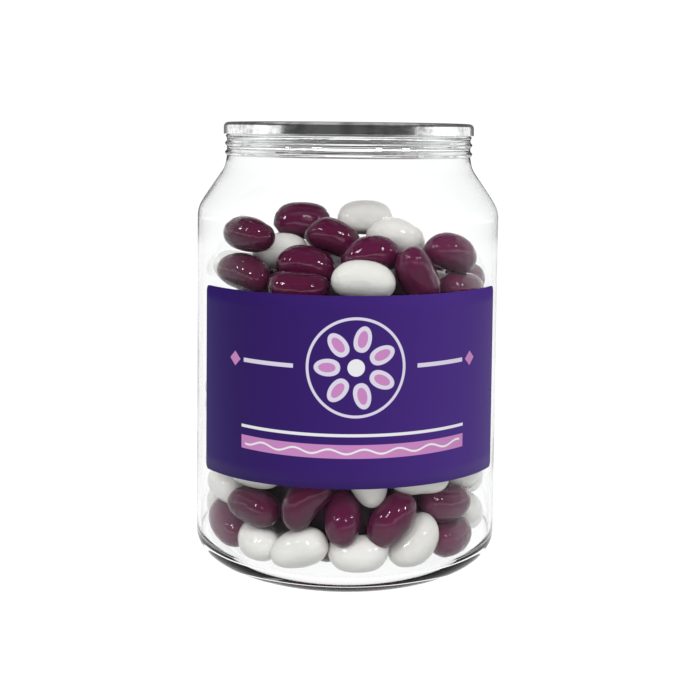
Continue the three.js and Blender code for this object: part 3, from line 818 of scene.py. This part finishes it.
def curled(name, path, radius, height, finish):
    """A blunt curled edge: a closed tube that follows a path, made by geometry nodes."""
    mesh = bpy.data.meshes.new(name + "_path")
    count = len(path)
    edges = [(i, (i + 1) % count) for i in range(count)]
    mesh.from_pydata([(x * MM, y * MM, height * MM) for x, y in path], edges, [])
    line = bpy.data.objects.new(name + "_path", mesh)
    bpy.context.scene.collection.objects.link(line)
    tree = bpy.data.node_groups.new(name, "GeometryNodeTree")
    tree.interface.new_socket("Path", in_out="INPUT", socket_type="NodeSocketGeometry")
    tree.interface.new_socket("Edge radius", in_out="INPUT", socket_type="NodeSocketFloat")
    tree.interface.new_socket("Sheet", in_out="INPUT", socket_type="NodeSocketMaterial")
    tree.interface.new_socket("Edge", in_out="OUTPUT", socket_type="NodeSocketGeometry")
    nodes, link = tree.nodes, tree.links.new
    given, out = nodes.new("NodeGroupInput"), nodes.new("NodeGroupOutput")
    as_curve, ring = nodes.new("GeometryNodeMeshToCurve"), nodes.new("GeometryNodeCurvePrimitiveCircle")
    ring.inputs["Resolution"].default_value = 12
    link(given.outputs["Path"], as_curve.inputs["Mesh"])
    link(given.outputs["Edge radius"], ring.inputs["Radius"])
    tube, finished = nodes.new("GeometryNodeCurveToMesh"), nodes.new("GeometryNodeSetMaterial")
    link(as_curve.outputs["Curve"], tube.inputs["Curve"])
    link(ring.outputs["Curve"], tube.inputs["Profile Curve"])
    link(tube.outputs["Mesh"], finished.inputs["Geometry"])
    link(given.outputs["Sheet"], finished.inputs["Material"])
    link(finished.outputs["Geometry"], out.inputs["Edge"])
    modifier = line.modifiers.new("curl", "NODES")
    modifier.node_group = tree
    sockets = {s.name: s.identifier for s in tree.interface.items_tree if s.in_out == "INPUT"}
    modifier[sockets["Edge radius"]] = radius * MM
    modifier[sockets["Sheet"]] = finish
    graph = bpy.context.evaluated_depsgraph_get()
    tube_mesh = bpy.data.meshes.new_from_object(line.evaluated_get(graph))
    tube_mesh.name = name
    line.modifiers.remove(modifier)
    bpy.data.objects.remove(line)
    tube_mesh.polygons.foreach_set("use_smooth", [True] * len(tube_mesh.polygons))
    made = bpy.data.objects.new(name, tube_mesh)
    bpy.context.scene.collection.objects.link(made)
    return made


def stamped_plate(name, outline, holes, bottom, top, finish):
    """A flat plate with holes: the outline is filled as a curve and given its thickness."""
    curve = bpy.data.curves.new(name, "CURVE")
    curve.dimensions, curve.fill_mode = "2D", "BOTH"
    curve.extrude = (top - bottom) / 2 * MM
    for loop in [outline, *holes]:
        spline = curve.splines.new("POLY")
        spline.points.add(len(loop) - 1)
        spline.points.foreach_set("co", [c for x, y in loop for c in (x * MM, y * MM, 0, 1)])
        spline.use_cyclic_u = True
    flat = bpy.data.objects.new(name + "_flat", curve)
    bpy.context.scene.collection.objects.link(flat)
    graph = bpy.context.evaluated_depsgraph_get()
    mesh = bpy.data.meshes.new_from_object(flat.evaluated_get(graph))
    bpy.data.objects.remove(flat)
    mesh.name = name
    for vertex in mesh.vertices:
        vertex.co.z += (top + bottom) / 2 * MM
    mesh.materials.clear()
    mesh.materials.append(finish)
    made = bpy.data.objects.new(name, mesh)
    bpy.context.scene.collection.objects.link(made)
    return made


tab_sheet = rolled_aluminium("tab_sheet", 0.12)
rivet_hole = [
    (RIVET_HOLE * math.cos(t), RIVET_OFFSET + RIVET_HOLE * math.sin(t))
    for t in np.linspace(0, 2 * math.pi, 24, endpoint=False)
]
tab_holes = [eye_outline(EYE_CURL), rivet_hole]
tab_edge = tab_outline(TAB_CURL_INSET)
tab_middle = TAB_BOTTOM + TAB_THICKNESS / 2
plate_faces = tab_middle - PLATE_HALF, tab_middle + PLATE_HALF
tab_parts = [
    stamped_plate("tab_plate", tab_edge, tab_holes, *plate_faces, tab_sheet),
    curled("tab_curl", tab_edge, TAB_CURL, tab_middle, tab_sheet),
    curled("eye_curl", eye_outline(EYE_CURL_GROWTH), EYE_CURL, tab_middle, tab_sheet),
]
for made in tab_parts:
    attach(made, "root")
    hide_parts("ring_pull")

# ---- The label
# A laminated paper sticker with rounded corners, glued over a third of the way round the wall. The
# print is a rosette of beans on violet, between two bars that end in diamonds, with a white rule
# and a pink band under them that has a wave in it.

LABEL_LEFT, LABEL_RIGHT = -61.5, 68.0
LABEL_BOTTOM, LABEL_TOP = 22.6, 60.5
LABEL_BOTTOM_BOW, LABEL_TOP_BOW = 1.2, 0.4
LABEL_CORNER = 1.2
LABEL_INNER, LABEL_OUTER = 33.03, 33.28
PRINT_SCALE = 100  # millimetres of print to one unit of its map
ROSETTE_ACROSS, ROSETTE_UP = 1.9, 46.5
PETALS, PETAL_REACH, ROSETTE_RING = 7, 5.7, 9.6
RULE_UP, BAND_UP, BAND_HALF_LENGTH = 33.2, 30.0, 24.5


def label_mesh(name, finish):
    corner = math.degrees(LABEL_CORNER / LABEL_OUTER)
    ends = 1 - np.cos(np.linspace(0, math.pi / 2, 9))
    turns = [
        *(LABEL_LEFT + ends * corner),
        *np.linspace(LABEL_LEFT + corner, LABEL_RIGHT - corner, 130)[1:-1],
        *(LABEL_RIGHT - ends[::-1] * corner),
    ]
    middle, half = (LABEL_LEFT + LABEL_RIGHT) / 2, (LABEL_RIGHT - LABEL_LEFT) / 2
    rows = 12
    verts, prints = [], []
    for radius in (LABEL_OUTER, LABEL_INNER):
        for turn in turns:
            from_end = min(min(turn - LABEL_LEFT, LABEL_RIGHT - turn) / corner, 1)
            inset = LABEL_CORNER * (1 - math.sqrt(1 - (1 - from_end) ** 2))
            bow = ((turn - middle) / half) ** 2
            low = LABEL_BOTTOM - bow * LABEL_BOTTOM_BOW + inset
            high = LABEL_TOP - bow * LABEL_TOP_BOW - inset
            for k in range(rows + 1):
                z = low + (high - low) * k / rows
                verts.append((*round_the_axis(radius, turn), z))
                prints.append((0.5 + math.radians(turn) * LABEL_OUTER / PRINT_SCALE, z / PRINT_SCALE))
    columns, step, back = len(turns), rows + 1, len(turns) * (rows + 1)
    faces = []
    for c in range(columns - 1):
        for k in range(rows):
            a, b = c * step + k, (c + 1) * step + k
            faces.append((a, b, b + 1, a + 1))
            faces.append((back + a, back + a + 1, back + b + 1, back + b))
        low_a, low_b, top_a, top_b = c * step, (c + 1) * step, c * step + rows, (c + 1) * step + rows
        faces.append((back + low_a, back + low_b, low_b, low_a))
        faces.append((top_a, top_b, back + top_b, back + top_a))
    last = (columns - 1) * step
    for k in range(rows):
        faces.append((back + k, k, k + 1, back + k + 1))
        faces.append((last + k, back + last + k, back + last + k + 1, last + k + 1))
    made = piece(name, verts, faces, finish)
    layer = made.data.uv_layers.new(name="print")
    for loop in made.data.loops:
        layer.data[loop.index].uv = prints[loop.vertex_index]
    return made


def printed_laminate():
    finish = Finish(bpy.data.materials.new("printed_laminate"))
    place = finish.add("ShaderNodeUVMap", {"uv_map": "print"})
    from_left, from_base = (finish.add("ShaderNodeSeparateXYZ", {}, {0: place}, axis) for axis in range(2))
    across, up = (from_left - 0.5) * PRINT_SCALE, from_base * PRINT_SCALE
    violet, lilac, pink, white = (
        (0.046, 0.0145, 0.178, 1), (0.82, 0.77, 0.92, 1), (0.66, 0.28, 0.61, 1), (0.95, 0.95, 0.97, 1)
    )
    fibres = finish.add("ShaderNodeTexNoise", {}, {"Vector": place, "Scale": 260, "Detail": 4})
    # Painted light: the violet ground is darker towards the left end and lighter towards the right, as the
    # light falls on it.
    painted_light_across = (across + 38) / 76
    ground = finish.add(
        "ShaderNodeValToRGB",
        {"stops": [
            (0.0, (0.028, 0.006, 0.170, 1)), (0.2, (0.029, 0.008, 0.132, 1)), (0.5, violet),
            (0.8, (0.073, 0.027, 0.250, 1)), (1.0, (0.075, 0.025, 0.270, 1)),
        ]},
        {"Fac": painted_light_across + fibres * 0.06 - 0.03},
    )
    x, z = across - ROSETTE_ACROSS, up - ROSETTE_UP
    radius = (x * x + z * z) ** 0.5
    turn = x.maths("ARCTAN2", z, x)
    petals_round = turn * (PETALS / (2 * math.pi)) + 10
    petal = petals_round.maths("FRACT", petals_round) - 0.5
    petal_x, petal_y = radius - PETAL_REACH, petal * radius * (2 * math.pi / PETALS)
    petals = ((petal_x / 2.6) ** 2 + (petal_y / 1.75) ** 2).within(1, 0.06)
    inner_petal = ((petal_x / 1.7) ** 2 + (petal_y / 0.95) ** 2).within(1, 0.08)
    ring = abs(radius - ROSETTE_RING).within(0.28, 0.05)
    heart = radius.within(1.7, 0.06)
    bars = abs(z).within(0.42, 0.05) * (1 - abs(x).within(12.5, 0.05)) * abs(x).within(24, 0.05)
    diamonds = (abs(abs(x) - 26.4) + abs(z)).within(1.5, 0.07)
    under = up - BAND_UP
    strip = abs(under).within(1.35, 0.05) * abs(x).within(BAND_HALF_LENGTH, 0.05)
    along_wave = x * 0.9
    wave = along_wave.maths("SINE", along_wave) * 0.45
    ripple = abs(under - wave).within(0.2, 0.06) * abs(x).within(BAND_HALF_LENGTH - 1, 0.05)
    rule = abs(up - RULE_UP).within(0.3, 0.05) * abs(x).within(BAND_HALF_LENGTH, 0.05)
    colour = ground
    for mask, ink in (
        (strip, pink), (ripple, white), (rule, white), (bars, lilac), (diamonds, pink), (ring, lilac),
        (petals, lilac), (inner_petal, pink), (heart, white),
    ):
        colour = finish.add("ShaderNodeMix", {"data_type": "RGBA"}, {0: mask, 6: colour, 7: ink}, 2)
    relief = finish.add("ShaderNodeBump", {}, {"Height": fibres, "Strength": 0.12, "Distance": 0.0002})
    return finish.shown_by(
        finish.add(
            "ShaderNodeBsdfPrincipled",
            {},
            {
                "Base Color": colour,
                "Roughness": fibres * 0.15 + 0.42,
                "Specular IOR Level": 0.15,
                "Normal": relief,
            },
        )
    )


label = label_mesh("label_sticker", printed_laminate())
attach(label, "root")
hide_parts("label")

# ---- The studio
# A pale paper sweep all round, bright enough to be the soft light. Reflections see a dark room with
# a grey ceiling instead, which keeps a veil off the wall and the sugar. The table at the jar's foot
# and behind it stays light in them and, through the wall, so do the back and a band at the horizon.

WHITE_GLOW, SOFT_FLOOR, SOFT_WALLS, SOFT_CEILING = 1.05, 0.6, 0.5, 0.5
ROOM_MIRRORED, CEILING_MIRRORED, CEILING_THROUGH = 0.1, 0.5, 0.08
TABLE_MIRRORED, HORIZON_IN_NECK = 0.15, 1.5
BACK_MIRRORED, BACK_THROUGH, FLOOR_BEHIND, FOOT_MIRRORED = 0.15, 0.9, 0.9, 1.0
NECK_HEIGHT, HORIZON_SLOPE, HORIZON_HALF = 0.09, 0.025, 0.09
TABLE_REACH, FOOT_REACH, SOFT_FLOOR_REACH = 0.75, 0.08, 0.6
WITHIN_WALL, THROUGH_WALL = 2, 2.5  # faces of the wall that a ray has passed


def glowing(finish, kind, soft, mirrored):
    """A glow that is white to the eye, softer to dull surfaces and another in reflections.

    What the clear wall reflects within itself stays white as well.
    """
    diffuse = finish.add("ShaderNodeLightPath", output="Is Diffuse Ray")
    bounces = finish.add("ShaderNodeLightPath", output="Glossy Depth")
    faces = finish.add("ShaderNodeLightPath", output="Transmission Depth")
    inside_wall = abs(faces - WITHIN_WALL).within(0.5, 0.1)
    in_mirror = bounces.maths("GREATER_THAN", bounces, 0.5) * (1 - inside_wall)
    white, dull, reflected = (
        finish.add(kind, {}, {"Color": (1, 1, 1, 1), "Strength": strength})
        for strength in (WHITE_GLOW, soft, mirrored)
    )
    lit = finish.add("ShaderNodeMixShader", {}, {0: in_mirror, 1: white, 2: reflected})
    return finish.add("ShaderNodeMixShader", {}, {0: diffuse, 1: lit, 2: dull})


paper = Finish(bpy.data.materials.new("pale_sweep"))
place = paper.add("ShaderNodeTexCoord", output="Object")
width, depth, height = (paper.add("ShaderNodeSeparateXYZ", {}, {0: place}, axis) for axis in range(3))
from_jar = (width * width + depth * depth) ** 0.5
faces = paper.add("ShaderNodeLightPath", output="Transmission Depth")
behind = 1 - depth.within(-0.2, 0.6)
through = 1 - faces.within(THROUGH_WALL, 0.1)
back_seen = BACK_MIRRORED + through * (BACK_THROUGH - BACK_MIRRORED)
room = ROOM_MIRRORED + behind * (back_seen - ROOM_MIRRORED)
table = from_jar.within(TABLE_REACH, 0.1)
slope = (height - NECK_HEIGHT) / from_jar
horizon = abs(slope - HORIZON_SLOPE).within(HORIZON_HALF, 0.015) * through
near = TABLE_MIRRORED + (1 - depth.within(-0.1, 0.3)) * (FLOOR_BEHIND - TABLE_MIRRORED)
foot = from_jar.within(FOOT_REACH, 0.02)
beyond = room + table * (near - room) + foot * (FOOT_MIRRORED - near)
mirrored = beyond + horizon * (HORIZON_IN_NECK - beyond)
soft = SOFT_WALLS + from_jar.within(SOFT_FLOOR_REACH, 0.3) * (SOFT_FLOOR - SOFT_WALLS)
sweep_paper = paper.shown_by(glowing(paper, "ShaderNodeEmission", soft, mirrored))
sweep_paper.cycles.emission_sampling = "NONE"
sweep_profile = [(0, 0), (300, 0), (700, 0), *arc(1100, 500, 500, 500, -90, 0, 16), (1600, 1800)]
sweep = piece("sweep", *turned(sweep_profile[::-1], 96), sweep_paper)

ceiling = Finish(bpy.data.worlds.new("soft_room"))
bent = ceiling.add("ShaderNodeLightPath", output="Transmission Depth").within(THROUGH_WALL, 0.1)
overhead = CEILING_THROUGH + bent * (CEILING_MIRRORED - CEILING_THROUGH)
sky = glowing(ceiling, "ShaderNodeBackground", SOFT_CEILING, overhead)
bpy.context.scene.world = ceiling.shown_by(sky, "ShaderNodeOutputWorld")


def softbox(name, place, size, watts, target=(0, 0, 0.05), mirrored=True, lights=None, shaded_by=None):
    light = bpy.data.lights.new(name, "AREA")
    light.shape, light.size, light.size_y, light.energy = "RECTANGLE", size[0], size[1], watts
    lamp = bpy.data.objects.new(name, light)
    lamp.location = place
    lamp.rotation_euler = (Vector(target) - Vector(place)).to_track_quat("-Z", "Y").to_euler()
    lamp.visible_camera, lamp.visible_glossy, lamp.visible_transmission = False, mirrored, mirrored
    bpy.context.scene.collection.objects.link(lamp)
    lamp.light_linking.receiver_collection = lights
    lamp.light_linking.blocker_collection = shaded_by


def gathered(name, pieces):
    group = bpy.data.collections.new(name)
    for made in pieces:
        group.objects.link(made)
    return group


# Fills. Only the heap itself shades them, so that they reach it past the end and the label.
filling = gathered("filling", [*heaps, core])
for name, place, size, watts, target in (
    ("low_fill", (0, -1.0, 0.12), (0.9, 0.2), 1.2, (0, 0, 0.05)),
    ("top_fill", (0, -0.45, 0.75), (0.6, 0.4), 2.9, (0, 0, 0.07)),
    ("back_fill", (0, 0.8, 0.42), (0.9, 0.3), 6.0, (0, 0, 0.05)),
):
    softbox(name, place, size, watts, target, False, shaded_by=filling)

# Small windows, each a highlight on the beans and the wall but none on the metal.
shining = gathered("shining", [jar, *heaps])
for name, place, size, watts in (
    ("left_window", (-0.42, -0.66, 0.56), (0.13, 0.17), 1.4),
    ("far_left_window", (-0.72, -0.36, 0.5), (0.1, 0.15), 0.9),
    ("right_window", (0.4, -0.68, 0.56), (0.1, 0.17), 1.2),
    ("far_right_window", (0.7, -0.42, 0.5), (0.09, 0.15), 0.8),
):
    softbox(name, place, size, watts, lights=shining)

# Lights at both sides that only the metal takes.
metalwork = gathered("metalwork", [can_end, rivet, *tab_parts])
for side in (-1, 1):
    place = (side * 0.3, 0.11, 0.06)
    softbox(f"side_glow_{side + 1}", place, (0.56, 0.24), 0.5, (0, 0.11, 0.06), lights=metalwork)

# ---- The camera
# It stands a quarter of a metre from the jar's axis, level with the neck and tipped down a little.
# The lens is shifted for the rest, so that the jar's sides stay nearly upright.

LOOKING_DOWN, ROLL = 3.24, -0.6

camera_data = bpy.data.cameras.new("camera")
camera_data.lens = 57.55
camera_data.sensor_width = 36
camera_data.shift_x = 0.0017
camera_data.shift_y = -0.216
camera = bpy.data.objects.new("camera", camera_data)
camera.location = (0, -0.2475, 0.0914)
camera.rotation_euler = (math.radians(90 - LOOKING_DOWN), math.radians(ROLL), 0)
bpy.context.scene.collection.objects.link(camera)
bpy.context.scene.camera = camera
bpy.context.scene.view_settings.view_transform = "Standard"
